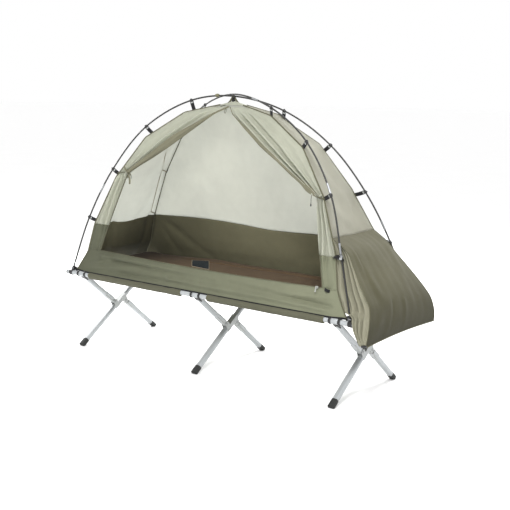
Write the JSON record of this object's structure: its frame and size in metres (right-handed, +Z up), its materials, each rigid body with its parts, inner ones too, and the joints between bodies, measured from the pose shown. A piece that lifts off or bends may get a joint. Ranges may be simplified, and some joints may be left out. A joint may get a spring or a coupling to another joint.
{
  "type": "folding cot with tent",
  "caption": "Folding camp cot with crossed aluminium legs and a one-person tent clipped under two arched poles, door open and foot pouch at one end.",
  "frame": {"origin": "on the floor, under the middle of the bounding box", "axes": "+X along the bed from the head end to the foot pouch, +Y from the door side to the back, +Z up"},
  "size_m": [1.9984, 0.65, 1.4346],
  "materials": {
    "aluminium": "satin",
    "cast_fitting": "satin",
    "black_plastic": "matte",
    "rubber": "matte",
    "pole": "satin",
    "webbing": "matte",
    "light_cloth": "matte",
    "olive_cloth": "matte",
    "skirt_cloth": "matte",
    "sling_cloth": "matte",
    "pad_cloth": "matte",
    "zip": "gloss"
  },
  "bodies": {
    "back_frame": {"rail_back_head": "aluminium", "rail_cap_back_head": "black_plastic", "pole_socket_back_head": "black_plastic", "rail_back_foot": "aluminium", "rail_cap_back_foot": "black_plastic", "pole_socket_back_foot": "black_plastic", "straight_leg_head": "aluminium", "cross_bracket_head": "cast_fitting", "rail_clamp_back_head": "black_plastic", "foot_front_head": "rubber", "straight_leg_mid": "aluminium", "cross_bracket_mid": "cast_fitting", "rail_clamp_back_mid": "black_plastic", "foot_front_mid": "rubber", "straight_leg_foot": "aluminium", "cross_bracket_foot": "cast_fitting", "rail_clamp_back_foot": "black_plastic", "foot_front_foot": "rubber", "bed_sling": "sling_cloth", "sleeping_pad": "pad_cloth", "pole_a": "pole", "pole_b": "pole", "crown_tie": "webbing", "back_wall_lower": "olive_cloth", "back_wall_upper": "light_cloth", "head_wall_lower": "olive_cloth", "head_wall_upper": "light_cloth", "foot_wall_upper": "light_cloth", "front_skirt": "skirt_cloth", "door_flap_head": "light_cloth", "door_flap_foot": "light_cloth", "tent_crown": "light_cloth", "foot_pouch": "olive_cloth", "door_tie_cord": "webbing", "door_tie_toggle": "black_plastic"},
    "front_frame": {"rail_front_head": "aluminium", "rail_cap_front_head": "black_plastic", "pole_socket_front_head": "black_plastic", "rail_front_foot": "aluminium", "rail_cap_front_foot": "black_plastic", "pole_socket_front_foot": "black_plastic", "upper_half_leg_head": "aluminium", "upper_hinge_block_head": "cast_fitting", "rail_clamp_front_head": "black_plastic", "upper_half_leg_mid": "aluminium", "upper_hinge_block_mid": "cast_fitting", "rail_clamp_front_mid": "black_plastic", "upper_half_leg_foot": "aluminium", "upper_hinge_block_foot": "cast_fitting", "rail_clamp_front_foot": "black_plastic"},
    "lower_leg_head": {"lower_half_leg_head": "aluminium", "lower_hinge_block_head": "cast_fitting", "foot_back_head": "rubber"},
    "lower_leg_mid": {"lower_half_leg_mid": "aluminium", "lower_hinge_block_mid": "cast_fitting", "foot_back_mid": "rubber"},
    "lower_leg_foot": {"lower_half_leg_foot": "aluminium", "lower_hinge_block_foot": "cast_fitting", "foot_back_foot": "rubber"},
    "zip_slider": {"zip_slider": "zip"}
  },
  "joints": [
    {"name": "frame_fold", "type": "hinge", "parent": "back_frame", "child": "front_frame", "pos_m": [-0.0459, -0.04333, 0.21782], "axis": [-1, 0, 0], "range_deg": [0, 104], "deforming": ["bed_sling", "sleeping_pad", "pole_a", "pole_b", "crown_tie", "back_wall_lower", "back_wall_upper", "head_wall_lower", "head_wall_upper", "foot_wall_upper", "front_skirt", "door_flap_head", "door_flap_foot", "tent_crown", "foot_pouch", "door_tie_cord", "door_tie_toggle"]},
    {"name": "lower_leg_fold_head", "type": "hinge", "parent": "back_frame", "child": "lower_leg_head", "pos_m": [-0.8809, 0.04333, 0.21218], "axis": [-1, 0, 0], "range_deg": [0, 104]},
    {"name": "lower_leg_fold_mid", "type": "hinge", "parent": "back_frame", "child": "lower_leg_mid", "pos_m": [-0.0459, 0.04333, 0.21218], "axis": [-1, 0, 0], "range_deg": [0, 104]},
    {"name": "lower_leg_fold_foot", "type": "hinge", "parent": "back_frame", "child": "lower_leg_foot", "pos_m": [0.7891, 0.04333, 0.21218], "axis": [-1, 0, 0], "range_deg": [0, 104]},
    {"name": "zip_travel", "type": "slide", "parent": "back_frame", "child": "zip_slider", "axis": [-1, 0.0016, 0.0037], "range_m": [0, 1.4]}
  ],
  "couplings": [
    {"joint": "lower_leg_fold_head", "follows": "frame_fold", "ratio": 1},
    {"joint": "lower_leg_fold_mid", "follows": "frame_fold", "ratio": 1},
    {"joint": "lower_leg_fold_foot", "follows": "frame_fold", "ratio": 1}
  ]
}
